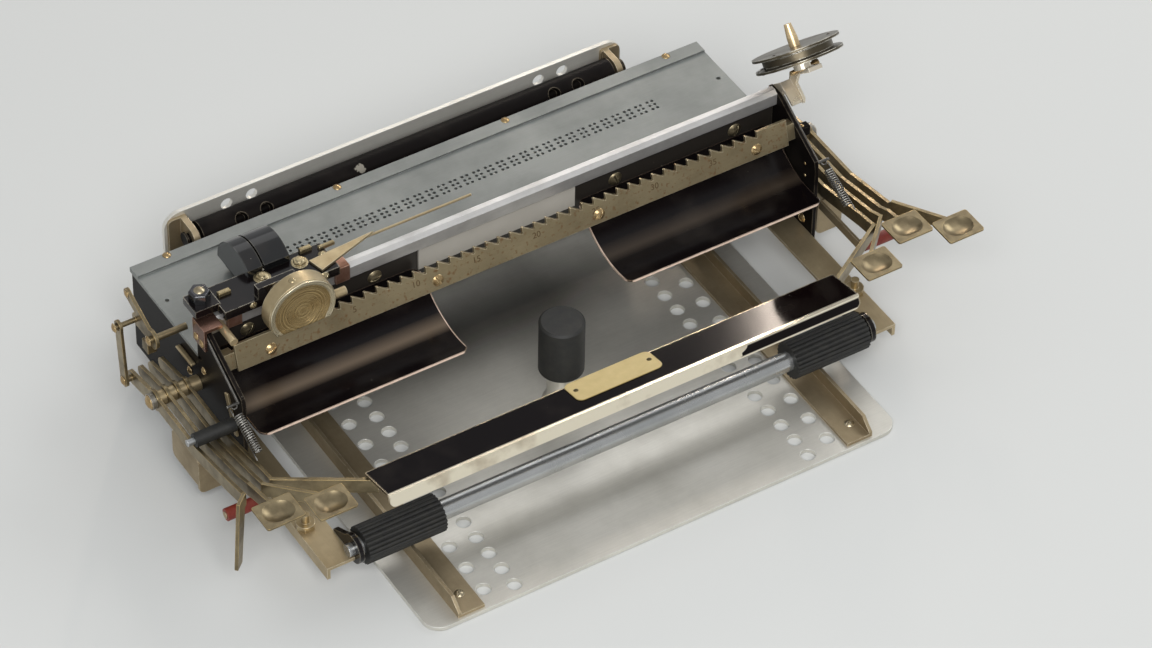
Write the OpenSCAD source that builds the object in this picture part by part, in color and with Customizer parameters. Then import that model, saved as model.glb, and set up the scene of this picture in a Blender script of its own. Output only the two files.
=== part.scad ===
// Braille writing machine on a perforated board.
// +X runs along the writing line, +Y away from the operator, +Z up.
// The origin is at the middle of the board's underside. Millimetres.

/* [Board] */
// Width of the board
board_w = 238; // [220:1:260]
// Depth of the board, front to back
board_len = 235; // [220:1:260]
// Thickness of the aluminium sheet
board_t = 2; // [1.5:0.1:3]
// Corner radius of the board
board_r = 8; // [4:0.5:14]
// Height of the upturned rear wall above the board
wall_h = 52; // [44:1:60]
// Diameter of the line spacing holes
hole_d = 6.8; // [5:0.1:8]
// Half distance between the two outer hole columns
outer_col_x = 87.5; // [84:0.5:90]
// Half distance between the two inner hole columns
inner_col_x = 74.8; // [66:0.5:78]
// Spacing of the outer holes, the wide line pitch
outer_pitch = 14.3; // [12:0.1:18]
// Spacing of the inner holes, the narrow line pitch
inner_pitch = 10.6; // [9:0.1:12]

/* [Rails and rollers] */
// Distance of a rail from the outer face of the side plate
rail_in = 54.7; // [51:0.1:56]
// Width of a rail's flat flange
rail_w = 13; // [10:0.5:18]
// Thickness of the rail strip
rail_t = 1.6; // [1.2:0.1:2]
// Height of the roller axes above the board
roller_h = 17; // [16:0.1:20]
// Radius over the ribs of a rubber roll
roll_r = 8.8; // [7.5:0.1:9]
// Length of a rubber roll
roll_len = 38; // [30:0.5:43]
// Radius of the aluminium roller rod
rod_r = 4.6; // [3.5:0.1:5.5]
// Number of ribs round a rubber roll
rib_count = 24; // [16:1:30]

/* [Machine frame] */
// Width over the side plates
frame_w = 294; // [290:1:300]
// Thickness of a side plate
side_t = 2; // [1.5:0.1:3]
// Gap between the top plate and the board's rear wall
frame_gap = 21; // [20:0.5:24]
// Depth of the top plate, front to back
plate_len = 64.5; // [60:0.5:68]
// Height of the top plate's upper face above the board
plate_h = 52; // [48:0.5:56]
// Thickness of the top plate
plate_t = 1.6; // [1:0.1:2.5]
// Height of the carriage rail's top above the board
rail_top_h = 75.5; // [74:0.1:78]
// Width of a side arm
arm_w = 13.5; // [12:0.5:15]
// Height of a side arm's top above the board
arm_h = 14; // [12:0.5:14]

/* [Writing line] */
// Number of braille cells in a line
cell_count = 36; // [30:1:37]
// Spacing of the cells along the line
cell_pitch = 6.1; // [5.8:0.05:6.2]
// Spacing of the dots inside a cell
dot_pitch = 2.5; // [2.2:0.1:2.7]
// Diameter of a dot hole
dot_d = 1.6; // [1.2:0.1:1.8]
// Height of the ratchet bar
rack_h = 13; // [11:0.5:15]
// Depth of the ratchet teeth
tooth_h = 3.1; // [2:0.1:4.5]
// Radius of the round barrel on the carriage
barrel_r = 16; // [14:0.5:18]

/* [Keys] */
// Spacing of the key levers along the shaft
lever_pitch = 5; // [4.6:0.1:5.4]
// Thickness of a lever strip
lever_t = 1.6; // [1.2:0.1:2]
// Depth of a lever strip
lever_d = 7; // [6:0.5:7.5]
// Width of a finger cup's plate
cup_w = 18.4; // [17:0.2:20]
// Depth of a finger cup's plate
cup_len = 15; // [14.6:0.2:18]
// Half depth of a finger cup's oval dish
cup_r = 6.8; // [6:0.1:7]
// Width of the space bar
space_w = 237; // [230:1:240]
// Depth of the space bar, front to back
space_len = 21.5; // [18:0.5:22]

/* [Grip and pulley] */
// Radius of the rubber grip
grip_r = 10.25; // [8:0.25:12]
// Height of the rubber grip
grip_len = 28.5; // [24:0.5:30]
// Radius of the cord pulley's flanges
pulley_r = 20.5; // [18:0.5:23]

/* [Hidden] */
$fn = 48;

// clearances
run_gap = 0.05;      // radial play of a turning fit
seat_gap = 0.3;      // pieces that pass close by each other
nip = 0.1;           // side play of a lever between its spacers

// levels above the underside of the board
z0 = board_t;
plate_z = z0 + plate_h;
rail_top_z = z0 + rail_top_h;
arm_z = z0 + arm_h;
arm_t = 1.6;
arm_flange = 6.5;
roller_z = z0 + roller_h;

// places along Y, measured forward from the top plate's rear edge
rear_y = board_len / 2 - board_t - frame_gap;
function fwd(d) = rear_y - d;
wall_t = 1.5;
wall_back_y = fwd(plate_len);
wall_y = wall_back_y - wall_t;
cell_y = fwd(25.8);
rack_y = wall_y - 20.7;
rack_t = 1.6;
pivot_y = fwd(61.3);
pivot_z = z0 + 34.6;
front_rod_y = fwd(166.6);
rear_rod_y = fwd(14.5);
arm_front_y = fwd(169);
arm_rear_y = fwd(3);

// places along X
side_x = frame_w / 2;
side_in = side_x - side_t;
arm_in = side_in - arm_w;
rail_x = side_x - rail_in;
line_x0 = -cell_pitch * (cell_count - 1) / 2;
lug_t = 2.4;
roll_x1 = arm_in - lug_t - 1.6;
roll_x0 = roll_x1 - roll_len;

// shafts
shaft_r = 2.5;
journal_r = 3;

// general helpers
// extrudes a side view, drawn as Y and Z, from x0 to x1
module side_view(x0, x1) {
    translate([x0, 0, 0]) rotate([90, 0, 90]) linear_extrude(x1 - x0) children();
}
// extrudes a front view, drawn as X and Z, from y0 to y1
module front_view(y0, y1) {
    translate([0, y1, 0]) rotate([90, 0, 0]) linear_extrude(y1 - y0) children();
}
// box between two corners
module box(a, b) {
    translate(a) cube(b - a);
}
// round rod along X
module rod_x(x0, x1, y, z, r) {
    translate([x0, y, z]) rotate([0, 90, 0]) cylinder(h = x1 - x0, r = r);
}
// rectangle from a to b with corners of radius r
module round_rect(a, b, r) {
    translate([a.x + r, a.y]) square([b.x - a.x - 2 * r, b.y - a.y]);
    translate([a.x, a.y + r]) square([b.x - a.x, b.y - a.y - 2 * r]);
    for (x = [a.x + r, b.x - r], y = [a.y + r, b.y - r])
        translate([x, y]) circle(r);
}
// outline of a bar between two points, with slightly wider round eyes
eye_rim = 0.3;
module link_bar(a, b, r) {
    d = b - a;
    h = r - eye_rim;
    translate(a) rotate(atan2(d.y, d.x)) translate([0, -h]) square([norm(d), 2 * h]);
    translate(a) circle(r);
    translate(b) circle(r);
}
// the same piece on the left hand side
module left() {
    mirror([1, 0, 0]) children();
}

// board with its upturned rear wall and the line spacing holes
outer_y0 = -board_len / 2 + 10.5;
inner_y0 = -board_len / 2 + 6.2;
hole_margin = 24;
outer_n = floor((board_len - 10.5 - hole_margin) / outer_pitch) + 1;
inner_n = floor((board_len - 6.2 - hole_margin) / inner_pitch) + 1;
wall_hole_drop = 3.6;
module hole_columns() {
    for (s = [-1, 1]) {
        for (i = [0:outer_n - 1])
            translate([s * outer_col_x, outer_y0 + i * outer_pitch]) circle(d = hole_d);
        for (i = [0:inner_n - 1])
            translate([s * inner_col_x, inner_y0 + i * inner_pitch]) circle(d = hole_d);
    }
}
module board() color([0.72, 0.73, 0.72]) {
    half = board_w / 2;
    end = board_len / 2;
    linear_extrude(board_t) difference() {
        union() {
            round_rect([-half, -end], [half, end], board_r);
            translate([-half, 0]) square([board_w, end]);
        }
        hole_columns();
    }
    top = z0 + wall_h;
    front_view(end - board_t, end) difference() {
        union() {
            round_rect([-half, 0], [half, top], board_r);
            translate([-half, 0]) square([board_w, top / 2]);
        }
        for (x = [-outer_col_x, -inner_col_x, inner_col_x, outer_col_x])
            translate([x, top - wall_hole_drop - hole_d / 2 + 1]) circle(d = hole_d - 1);
    }
}

// rail: a flat flange on the board and an upright that the rolls run on
rail_z = roller_z - roll_r - seat_gap;
rail_y0 = -board_len / 2 + 1.5;
rail_y1 = board_len / 2 - board_t - 1;
rail_nose = 6;
module rail() color([0.5, 0.45, 0.35]) {
    x1 = rail_x + rail_w;
    difference() {
        front_view(rail_y0, rail_y1) {
            translate([rail_x, z0]) square([rail_w, rail_t]);
            translate([x1 - rail_t, z0]) square([rail_t, rail_z - z0]);
        }
        side_view(x1 - rail_t - 1, x1 + 1) polygon([
            [rail_y0 - 1, rail_z + 1], [rail_y0 + rail_nose, rail_z + 1],
            [rail_y0 + rail_nose, rail_z], [rail_y0, z0 + rail_t + 1],
            [rail_y0 - 1, z0 + rail_t + 1]]);
    }
}
module rail_right() rail();
module rail_left() left() rail();

// grip: a turned post on the board with a rubber cap
grip_y = fwd(121.5);
post_r = 6.25;
grip_z0 = z0 + 20;
cap_roof = 5;
module grip_post() color([0.75, 0.75, 0.74]) {
    translate([0, grip_y, z0]) rotate_extrude() polygon([
        [0, 0], [post_r + 2, 0], [post_r + 2, 1.5], [post_r, 3],
        [post_r, grip_z0 - z0 - 0.5], [post_r - 1.5, grip_z0 - z0],
        [post_r - 1.5, grip_z0 + grip_len - cap_roof - z0],
        [0, grip_z0 + grip_len - cap_roof - z0]]);
}
module grip_cap() color([0.1, 0.1, 0.1]) {
    bore = post_r - 1.5 + run_gap;
    translate([0, grip_y, grip_z0]) rotate_extrude() polygon([
        [bore, 0], [grip_r - 0.6, 0], [grip_r, 0.6], [grip_r, grip_len - 1],
        [grip_r - 1, grip_len], [0, grip_len], [0, grip_len - cap_roof + 0.2],
        [bore, grip_len - cap_roof + 0.2]]);
}

// perforated paper roller along the rear wall, in two wall brackets
roller_r = 6.5;
roller_axis = [board_len / 2 - board_t - 9.5, z0 + 44];
bracket_x = 108.5;
bracket_t = 3;
module roller_bracket() color([0.5, 0.45, 0.35]) {
    face = board_len / 2 - board_t;
    side_view(bracket_x, bracket_x + bracket_t) difference() {
        union() {
            translate(roller_axis) circle(6);
            translate([roller_axis.x, roller_axis.y - 6])
                square([face - roller_axis.x, 12]);
        }
        translate(roller_axis) circle(shaft_r + run_gap);
    }
    front_view(face - 1.6, face) round_rect([bracket_x - 1, roller_axis.y - 14],
        [bracket_x + 9, roller_axis.y + 6], 2);
}
module roller_bracket_right() roller_bracket();
module roller_bracket_left() left() roller_bracket();
module paper_roller() color([0.08, 0.08, 0.08]) {
    end = bracket_x - 1.5;
    difference() {
        rod_x(-end, end, roller_axis.x, roller_axis.y, roller_r);
        for (x = [-outer_col_x, -inner_col_x, inner_col_x, outer_col_x])
            translate([x, roller_axis.x, roller_axis.y]) rotate([49, 0, 0])
                translate([0, 0, 1.5]) cylinder(h = roller_r, d = hole_d - 0.8);
    }
    tip = bracket_x + bracket_t + 2.5;
    rod_x(-tip, tip, roller_axis.x, roller_axis.y, shaft_r);
    for (s = [-1, 1])
        rod_x(s * tip - 0.5 - s * 0.5, s * tip + 0.5 - s * 0.5,
            roller_axis.x, roller_axis.y, shaft_r + 1.2);
}

// top plate: the perforated writing line and a raised rear strip
strip_w = 7;
strip_t = 1;
module cells() {
    for (i = [0:cell_count - 1], a = [-0.5, 0.5], b = [-1, 0, 1])
        translate([line_x0 + i * cell_pitch + a * dot_pitch, cell_y + b * dot_pitch])
            circle(d = dot_d, $fn = 16);
}
module top_plate() color([0.66, 0.69, 0.68]) {
    translate([0, 0, plate_z - plate_t]) linear_extrude(plate_t) difference() {
        translate([-side_x, wall_back_y]) square([frame_w, plate_len]);
        cells();
        for (s = [-1, 1]) translate([s * (side_x - 4.6), cell_y]) circle(1);
    }
    box([-side_x, rear_y - strip_w, plate_z], [side_x, rear_y, plate_z + strip_t]);
}
// matrix bar: backs the writing line between the side plates
module matrix_bar() color([0.45, 0.42, 0.36]) {
    box([-side_in, cell_y - 6, plate_z - plate_t - 6], [side_in, cell_y + 6, plate_z - plate_t]);
}

// front wall with its light panel, and the carriage rail on top of it
wall_z0 = plate_z - 6;
rail_foot_z = rail_top_z - 7.5;
module front_wall() color([0.07, 0.07, 0.07]) {
    box([-side_in, wall_y, wall_z0], [side_in, wall_back_y, rail_foot_z]);
}
panel_w = 80;
panel_h = 13.5;
module wall_panel() color([0.85, 0.84, 0.8]) {
    top = rail_foot_z - 0.4;
    box([-panel_w / 2, wall_y - 1, top - panel_h], [panel_w / 2, wall_y, top]);
}
rail_face_y = wall_y - 3;
stop_pin_x = side_x - 7;
module carriage_rail() color([0.8, 0.81, 0.8]) {
    side_view(-side_in, side_in) polygon([
        [wall_back_y, rail_foot_z], [wall_back_y, rail_top_z],
        [rail_face_y + 2, rail_top_z], [rail_face_y, rail_top_z - 1.5],
        [rail_face_y, rail_foot_z]]);
    translate([-stop_pin_x, rail_face_y + 0.5, rail_top_z - 2.4]) rotate([90, 0, 0])
        cylinder(h = 14.5, r = 1.9);
}

// ratchet bar: it leans back, with one saw tooth for each cell
rack_x = side_in - 4.7;
rack_lean = 14.7;
tooth_end_x = rack_x - 15.6;
tooth_n = cell_count + 2;
tooth_x0 = tooth_end_x - tooth_n * cell_pitch;
rack_lug = 6;
module ratchet_rack() color([0.5, 0.46, 0.33])
    translate([0, rack_y, z0 + 59]) rotate([-rack_lean, 0, 0]) {
        root = rack_h - tooth_h;
        teeth = [for (i = [0:tooth_n - 1], p = [
            [0, root], [0, rack_h], [0.7, rack_h], [cell_pitch - 1.2, root + 0.4]])
            [tooth_x0 + i * cell_pitch + p.x, p.y]];
        front_view(0, rack_t) polygon(concat(
            [[-rack_x, 0], [-rack_x, rack_h], [tooth_x0 - 3, rack_h], [tooth_x0 - 3, root]],
            teeth,
            [[tooth_end_x, root], [tooth_end_x, rack_h], [rack_x, rack_h], [rack_x, 0]]));
        for (s = [0, 1]) mirror([s, 0, 0]) {
            box([rack_x, rack_t, 1], [side_in, rack_t + 5.4, rack_h - 4]);
            box([rack_x - rack_lug, rack_t, 1], [rack_x, rack_t + 2.4, rack_h - 4]);
        }
    }

// paper chute: a trough-shaped sheet below the ratchet bar
chute_x0 = 40.6;
chute_x1 = side_in - 2;
chute_r = 38;
chute_t = 1;
chute_c = [wall_y - 35, z0 + 79];
chute_lip = -17;
chute_rear = 50;
module chute() color([0.06, 0.06, 0.06]) intersection() {
    side_view(chute_x0, chute_x1) {
        difference() {
            translate(chute_c) circle(chute_r, $fn = 96);
            translate(chute_c) circle(chute_r - chute_t, $fn = 96);
            translate(chute_c) rotate(chute_rear - 90) square([200, 200]);
            translate(chute_c) rotate(chute_lip - 180) square([200, 200]);
            translate([chute_c.x - 100, chute_c.y]) square([200, 100]);
        }
        flange_z = chute_c.y - chute_r * cos(chute_rear);
        flange_y = chute_c.x + (chute_r - chute_t) * sin(chute_rear);
        translate([flange_y, flange_z]) square([wall_y - flange_y, chute_t]);
    }
    front = chute_c.x + chute_r * sin(chute_lip);
    translate([0, 0, z0 + 30]) linear_extrude(60)
        round_rect([chute_x0, front - 0.2], [chute_x1, wall_y], 5);
}
module chute_right() chute();
module chute_left() left() chute();

// side plate: its front edge slopes down to the spring eye
eye = [fwd(99.5), z0 + 55];
module side_plate() color([0.07, 0.07, 0.07]) {
    top = plate_z - plate_t;
    side_view(side_in, side_x) difference() {
        polygon([
            [fwd(2), z0 + 8], [fwd(2), top], [wall_back_y + 2.5, top],
            [wall_back_y + 2.5, rail_top_z - 1.5], [rail_face_y - 0.5, rail_top_z - 1.5],
            [eye.x - 1, eye.y + 2], [eye.x - 2, eye.y - 3], [eye.x - 2, z0 + 8]]);
        translate([pivot_y, pivot_z]) circle(shaft_r);
    }
}
module side_plate_right() side_plate();
module side_plate_left() left() side_plate();

// side arm: an angle strip that reaches forward to the roller rod
module arm() color([0.5, 0.45, 0.35]) {
    front_view(arm_front_y, arm_rear_y) {
        translate([arm_in, arm_z - arm_t]) square([arm_w, arm_t]);
        translate([side_in - arm_t, arm_z - arm_flange]) square([arm_t, arm_flange]);
    }
}
module arm_right() arm();
module arm_left() left() arm();

// lugs: black eyes beside each arm that carry the roller rods
module lug_eye(y) {
    side_view(arm_in - lug_t, arm_in) difference() {
        union() {
            translate([y, roller_z]) circle(7);
            polygon([[y, roller_z + 7], [y, arm_z - arm_t - 1], [y + 16, arm_z - arm_t - 1],
                [y + 16, arm_z + 1]]);
        }
        translate([y, roller_z]) circle(journal_r + run_gap);
    }
}
module lugs() color([0.1, 0.1, 0.1]) {
    lug_eye(front_rod_y);
    mirrored_y = rear_rod_y;
    translate([0, 2 * mirrored_y, 0]) mirror([0, 1, 0]) lug_eye(mirrored_y);
}
module lugs_right() lugs();
module lugs_left() left() lugs();

// rollers: an aluminium rod with ribbed rubber rolls over the rails
module roller_rod(y) {
    end = arm_in - lug_t - seat_gap;
    rod_x(-end, end, y, roller_z, rod_r);
    rod_x(-arm_in - 2.5, arm_in + 2.5, y, roller_z, journal_r);
}
module roll(y) {
    core = roll_r - 0.9;
    side_view(roll_x0, roll_x1) difference() {
        translate([y, roller_z]) union() {
            circle(core);
            for (i = [0:rib_count - 1]) rotate(i * 360 / rib_count)
                translate([core, 0]) circle(roll_r - core, $fn = 16);
        }
        translate([y, roller_z]) circle(rod_r + run_gap);
    }
}
module front_rod() color([0.75, 0.77, 0.78]) roller_rod(front_rod_y);
module roll_right() color([0.12, 0.12, 0.12]) roll(front_rod_y);
module roll_left() color([0.12, 0.12, 0.12]) left() roll(front_rod_y);
module rear_roller() color([0.3, 0.3, 0.3]) {
    roller_rod(rear_rod_y);
    for (s = [-1, 1])
        rod_x(s * (roll_x0 + roll_x1) / 2 - roll_len / 2, s * (roll_x0 + roll_x1) / 2 + roll_len / 2,
            rear_rod_y, roller_z, roll_r);
}

// lever shaft across the machine, its spacers, and the rear tie rod
lever_x0 = side_x + 6;
function lever_x(k) = lever_x0 + k * lever_pitch;
shaft_end = lever_x(3) + lever_t / 2 + nip;
module lever_shaft() color([0.6, 0.58, 0.5]) {
    rod_x(-shaft_end - 2.2, shaft_end + 2.2, pivot_y, pivot_z, shaft_r);
    for (s = [-1, 1])
        rod_x(s * (shaft_end + 1.1) - 1.1, s * (shaft_end + 1.1) + 1.1, pivot_y, pivot_z, 3.8);
}
module rear_tie() color([0.6, 0.58, 0.5]) rod_x(-side_in, side_in, fwd(12), plate_z - 10, 3);
module spacer(x0, x1) {
    side_view(x0, x1) translate([pivot_y, pivot_z]) difference() {
        circle(3.6);
        circle(shaft_r + run_gap);
    }
}
module spacer_set() {
    half = lever_t / 2 + nip;
    spacer(side_x, lever_x(0) - half);
    for (k = [0:2]) spacer(lever_x(k) + half, lever_x(k + 1) - half);
}
module spacers() color([0.7, 0.58, 0.3]) {
    spacer_set();
    left() spacer_set();
}

// lever strip: side view from the shaft forward, with its eye
function lever_line(y_end, z_end) = [
    [pivot_y + 21, pivot_z - 4], [pivot_y, pivot_z], [pivot_y - 36, pivot_z - 0.4],
    [pivot_y - 66, pivot_z + 5.4], [y_end, z_end]];
module lever_side(line) {
    h = lever_d / 2;
    n = len(line);
    difference() {
        union() {
            polygon(concat([for (p = line) [p.x, p.y + h]],
                [for (i = [n - 1:-1:0]) [line[i].x, line[i].y - h]]));
            translate([pivot_y, pivot_z]) circle(5);
            translate(line[0]) circle(h);
        }
        translate([pivot_y, pivot_z]) circle(shaft_r + run_gap);
    }
}
// upright strip between two plan points, drawn by length and height
module upright(a, b) {
    d = b - a;
    translate([a.x, a.y, 0]) rotate([90, 0, atan2(d.y, d.x)])
        linear_extrude(lever_t, center = true) children();
}
// finger cup: a plate with an oval dish
cup_z = z0 + 49;
cup_t = 1;
cup_depth = 3;
cup_half = 1.5;      // half length of the dish's straight middle
module dish_cut(lift, top) {
    ball = (cup_r * cup_r + cup_depth * cup_depth) / (2 * cup_depth);
    intersection() {
        translate([0, ball - cup_depth + lift]) circle(ball, $fn = 96);
        translate([-cup_r, -cup_depth - 1]) square([2 * cup_r, cup_depth + 1 + top]);
    }
}
module dish_form(lift, top) {
    side_view(-cup_half, cup_half) dish_cut(lift, top);
    for (s = [-1, 1]) translate([s * cup_half, 0, 0]) rotate_extrude() intersection() {
        dish_cut(lift, top);
        translate([0, -10]) square(20);
    }
}
module cup(x, y) translate([x, y, cup_z]) difference() {
    union() {
        translate([0, 0, -cup_t]) linear_extrude(cup_t)
            round_rect([-cup_w / 2, -cup_len / 2], [cup_w / 2, cup_len / 2], 1.2);
        dish_form(0, 0);
    }
    dish_form(cup_t, 1);
}
// key lever: straight strip, an angled strip and the finger cup
module key(k, bend_y, cup_x, cup_y) {
    x = lever_x(k);
    bend_z = pivot_z + 8.2;
    side_view(x - lever_t / 2, x + lever_t / 2) lever_side(lever_line(bend_y, bend_z));
    end_x = cup_x;
    end_y = cup_y + cup_len / 2 - 2;
    run = norm([end_x - x, end_y - bend_y]);
    top = cup_z - cup_t / 2;
    upright([x, bend_y], [end_x, end_y]) polygon([
        [-lever_t / 2, bend_z - lever_d / 2], [run, top - lever_d + 1], [run, top],
        [-lever_t / 2, bend_z + lever_d / 2]]);
    cup(cup_x, cup_y);
}
module key_r1() color([0.5, 0.46, 0.36]) key(3, fwd(130), side_x + 35, fwd(160.5));
module key_r2() color([0.5, 0.46, 0.36]) key(2, fwd(134), side_x + 15.5, fwd(149));
module key_r3() color([0.5, 0.46, 0.36]) key(1, fwd(135), side_x - 9.5, fwd(161.7));
module key_l3() color([0.5, 0.46, 0.36]) left() key(1, fwd(139), side_x - 7, fwd(165));
module key_l2() color([0.5, 0.46, 0.36]) left() key(2, fwd(136), side_x + 14.5, fwd(158.5));
module key_l1() color([0.5, 0.46, 0.36]) left() {
    x = lever_x(3);
    bend_y = fwd(140);
    bend_z = pivot_z + 8.2;
    side_view(x - lever_t / 2, x + lever_t / 2) lever_side(lever_line(bend_y, bend_z));
    h = lever_d / 2;
    foot = z0 + 12;
    upright([x, bend_y], [x + 9, bend_y - 8]) polygon([
        [-lever_t / 2, bend_z - h], [1, bend_z - h], [7, foot], [12.5, foot],
        [7, bend_z + h], [-lever_t / 2, bend_z + h]]);
    link_pin = pivot_y + 21;
    rod_x(x, x + 4.4, link_pin, pivot_z - 4, 1.5);
}

// space bar on two levers, with a folded front edge
space_rear = [fwd(155.5), z0 + 46.5];
space_tilt = -12;
space_t = 1.5;
space_flange = 6.5;
module space_frame() {
    translate([0, space_rear.x, space_rear.y]) rotate([space_tilt, 0, 0]) children();
}
module space_bar() color([0.05, 0.05, 0.05]) space_frame() {
    half = space_w / 2;
    translate([0, 0, -space_t]) linear_extrude(space_t)
        round_rect([-half, -space_len], [half, 0], 1);
    front_view(-space_len, -space_len + space_t)  {
        translate([-half + 1, -space_flange / 2]) square([space_w - 2, space_flange / 2]);
        round_rect([-half, -space_flange], [half, -0.01], 3);
    }
}
module space_lever() color([0.5, 0.46, 0.36]) {
    x = lever_x(0);
    bend_y = fwd(137);
    bend_z = pivot_z + 6.8;
    side_view(x - lever_t / 2, x + lever_t / 2) lever_side(lever_line(bend_y, bend_z));
    end = [space_w / 2 - 4, space_rear.x - 5];
    run = norm(end - [x, bend_y]);
    upright([x, bend_y], end) polygon([
        [-lever_t / 2, bend_z - lever_d / 2], [run, bend_z - 4], [run, space_rear.y - 1.6],
        [-lever_t / 2, bend_z + lever_d / 2]]);
    space_frame() box([end.x - 12, -9, -space_t - 1.6], [end.x + 1, -2, -space_t]);
}
module space_lever_right() space_lever();
module space_lever_left() left() space_lever();

// rubber rest above the left levers, on a pin out of the side plate
rest = [fwd(97.2), pivot_z + 6.4];
sleeve_r = 3.2;
pin_r = 1.6;
rest_end = shaft_end + 3;
module rest_pin() color([0.6, 0.58, 0.5]) left()
    rod_x(side_x, rest_end, rest.x, rest.y, pin_r);
module rest_sleeve() color([0.1, 0.1, 0.1]) left()
    side_view(side_x + 2, rest_end - 3.5) translate(rest) difference() {
        circle(sleeve_r);
        circle(pin_r + run_gap);
    }

// guard: an angle plate below the levers, on a rod out of the side plate
guard_y = fwd(95);
guard_t = 1.4;
guard_x0 = side_x + 5.5;
guard_x1 = side_x + 19;
guard_z0 = z0 + 5;
guard_z1 = z0 + 25;
module guard() color([0.5, 0.46, 0.36]) {
    front_view(guard_y, guard_y + guard_t)
        round_rect([guard_x0, guard_z0], [guard_x1, guard_z1], 3);
    side_view(guard_x1 - guard_t, guard_x1)
        round_rect([guard_y, guard_z0 + 4], [guard_y + 24, guard_z1], 3);
    rod_x(side_x, guard_x1 - guard_t / 2, guard_y + 18, guard_z0 + 12, pin_r);
}
module guard_right() guard();
module guard_left() left() guard();

// red rubber stops below the levers, on a strip that the guard carries
stop = [fwd(127.5), z0 + 23.6];
post_x = lever_x(0);
post_h = 2.4;
module stop_post() color([0.5, 0.46, 0.36]) {
    side_view(post_x, post_x + guard_t) {
        translate(stop) circle(post_h + eye_rim);
        translate([stop.x, stop.y - post_h]) square([guard_y - stop.x, 2 * post_h]);
    }
    rod_x(post_x, lever_x(3) + 3, stop.x, stop.y, pin_r);
}
module stop_post_right() stop_post();
module stop_post_left() left() stop_post();
module red_sleeves() color([0.7, 0.2, 0.12]) {
    for (s = [0, 1]) mirror([s, 0, 0])
        side_view(lever_x(0) + 2, lever_x(3) + 2.5) translate(stop) difference() {
            circle(sleeve_r - 0.3);
            circle(pin_r + run_gap);
        }
}

// wires from the side plates' upper corners to the spring eyes
wire_r = 0.7;
wire_top = [rail_face_y - 1, rail_top_z - 3];
wire_x = side_x + wire_r;
module wire() {
    d = wire_top - eye;
    translate([wire_x, eye.x, eye.y]) rotate([atan2(d.y, d.x) - 90, 0, 0])
        cylinder(h = norm(d), r = wire_r);
    rod_x(wire_x, spring_x + coil_r + 1, eye.x, eye.y, wire_r);
}
module spring_wires() color([0.4, 0.4, 0.4]) {
    wire();
    left() wire();
}

// extension spring from the wire's eye to the space lever
coil_r = 2;
coil_wire = 0.33;
coil_n = 17;
coil_pitch = 1.12;
coil_steps = 8;
spring_top = eye + [-1.1, -0.85];
spring_foot = [fwd(123.5), pivot_z + 8.9];
spring_x = wire_x + 2.6;
spring_dir = (spring_foot - spring_top) / norm(spring_foot - spring_top);
spring_len = norm(spring_foot - spring_top);
coil_len = coil_n * coil_pitch;
lead = (spring_len - coil_len) / 2;
function spring_frame(p, s) = // local radius plane p = [along X, across], s along the spring
    [spring_x + p.x,
     spring_top.x + spring_dir.x * s - spring_dir.y * p.y,
     spring_top.y + spring_dir.y * s + spring_dir.x * p.y];
// each station: place in the radius plane, distance along, direction of travel
function coil_at(i) = let (a = 360 * i / coil_steps)
    [[coil_r * cos(a), coil_r * sin(a)], lead + coil_pitch * i / coil_steps, a, 0];
coil_stations = concat(
    [[[coil_r, 0], 0, 0, 90], [[coil_r, 0], lead - 1.1, 0, 90], [[coil_r, 0], lead - 0.5, 0, 60]],
    [for (i = [0:coil_n * coil_steps]) coil_at(i)],
    [[[coil_r, 0], lead + coil_len + 0.5, 0, 60], [[coil_r, 0], lead + coil_len + 1.1, 0, 90],
     [[coil_r, 0], spring_len, 0, 90]]);
function ring(st) = let (
    n = [cos(st[2]), sin(st[2])], t = [-sin(st[2]), cos(st[2])], e = st[3])
    [for (k = [0:5]) let (f = 60 * k, u = coil_wire * cos(f), v = coil_wire * sin(f))
        spring_frame(st[0] + u * n + v * sin(e) * t, st[1] - v * cos(e))];
module space_spring() color([0.35, 0.35, 0.35]) {
    rings = [for (st = coil_stations) ring(st)];
    m = len(rings);
    points = [for (r = rings, p = r) p];
    faces = concat(
        [[for (k = [0:5]) k]],
        [for (i = [0:m - 2], k = [0:5]) let (a = 6 * i + k, b = 6 * i + (k + 1) % 6)
            [a, a + 6, b]],
        [for (i = [0:m - 2], k = [0:5]) let (a = 6 * i + k, b = 6 * i + (k + 1) % 6)
            [b, a + 6, b + 6]],
        [[for (k = [5:-1:0]) 6 * (m - 1) + k]]);
    polyhedron(points, faces, convexity = 10);
}
module space_spring_right() space_spring();
module space_spring_left() left() space_spring();
coil_centres = [for (i = [0:coil_n * coil_steps]) let (c = coil_at(i)) spring_frame(c[0], c[1])];
coil_gap = min([for (i = [0:len(coil_centres) - 1 - coil_steps], j = [-1:1])
    let (k = min(i + coil_steps + j, len(coil_centres) - 1))
    norm(coil_centres[i] - coil_centres[k])]) - 2 * coil_wire;
echo("least gap of a spring to itself", coil_gap);

// stop at the left end of the carriage rail
module rail_stop() color([0.42, 0.27, 0.2]) {
    z1 = rail_top_z + 2;
    box([-side_x - 3, rail_face_y - 6, rail_top_z + seat_gap], [-side_in + 4, wall_back_y, z1]);
    box([-side_x - 3, rail_face_y - 6, rail_top_z - 10], [-side_x - wire_r * 2 - 0.3, wall_back_y, z1]);
}
// adjusting screws for the space levers, on the side arms
module stop_screws() color([0.55, 0.5, 0.38]) {
    for (s = [-1, 1]) translate([s * (side_in - 4.4), fwd(142.8), arm_z]) {
        cylinder(h = 2, r = 4.4, $fn = 6);
        translate([0, 0, 2]) cylinder(h = 1.4, r = 4.2);
        translate([0, 0, 3.4]) cylinder(h = 4.6, r = 1.9);
    }
}

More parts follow.
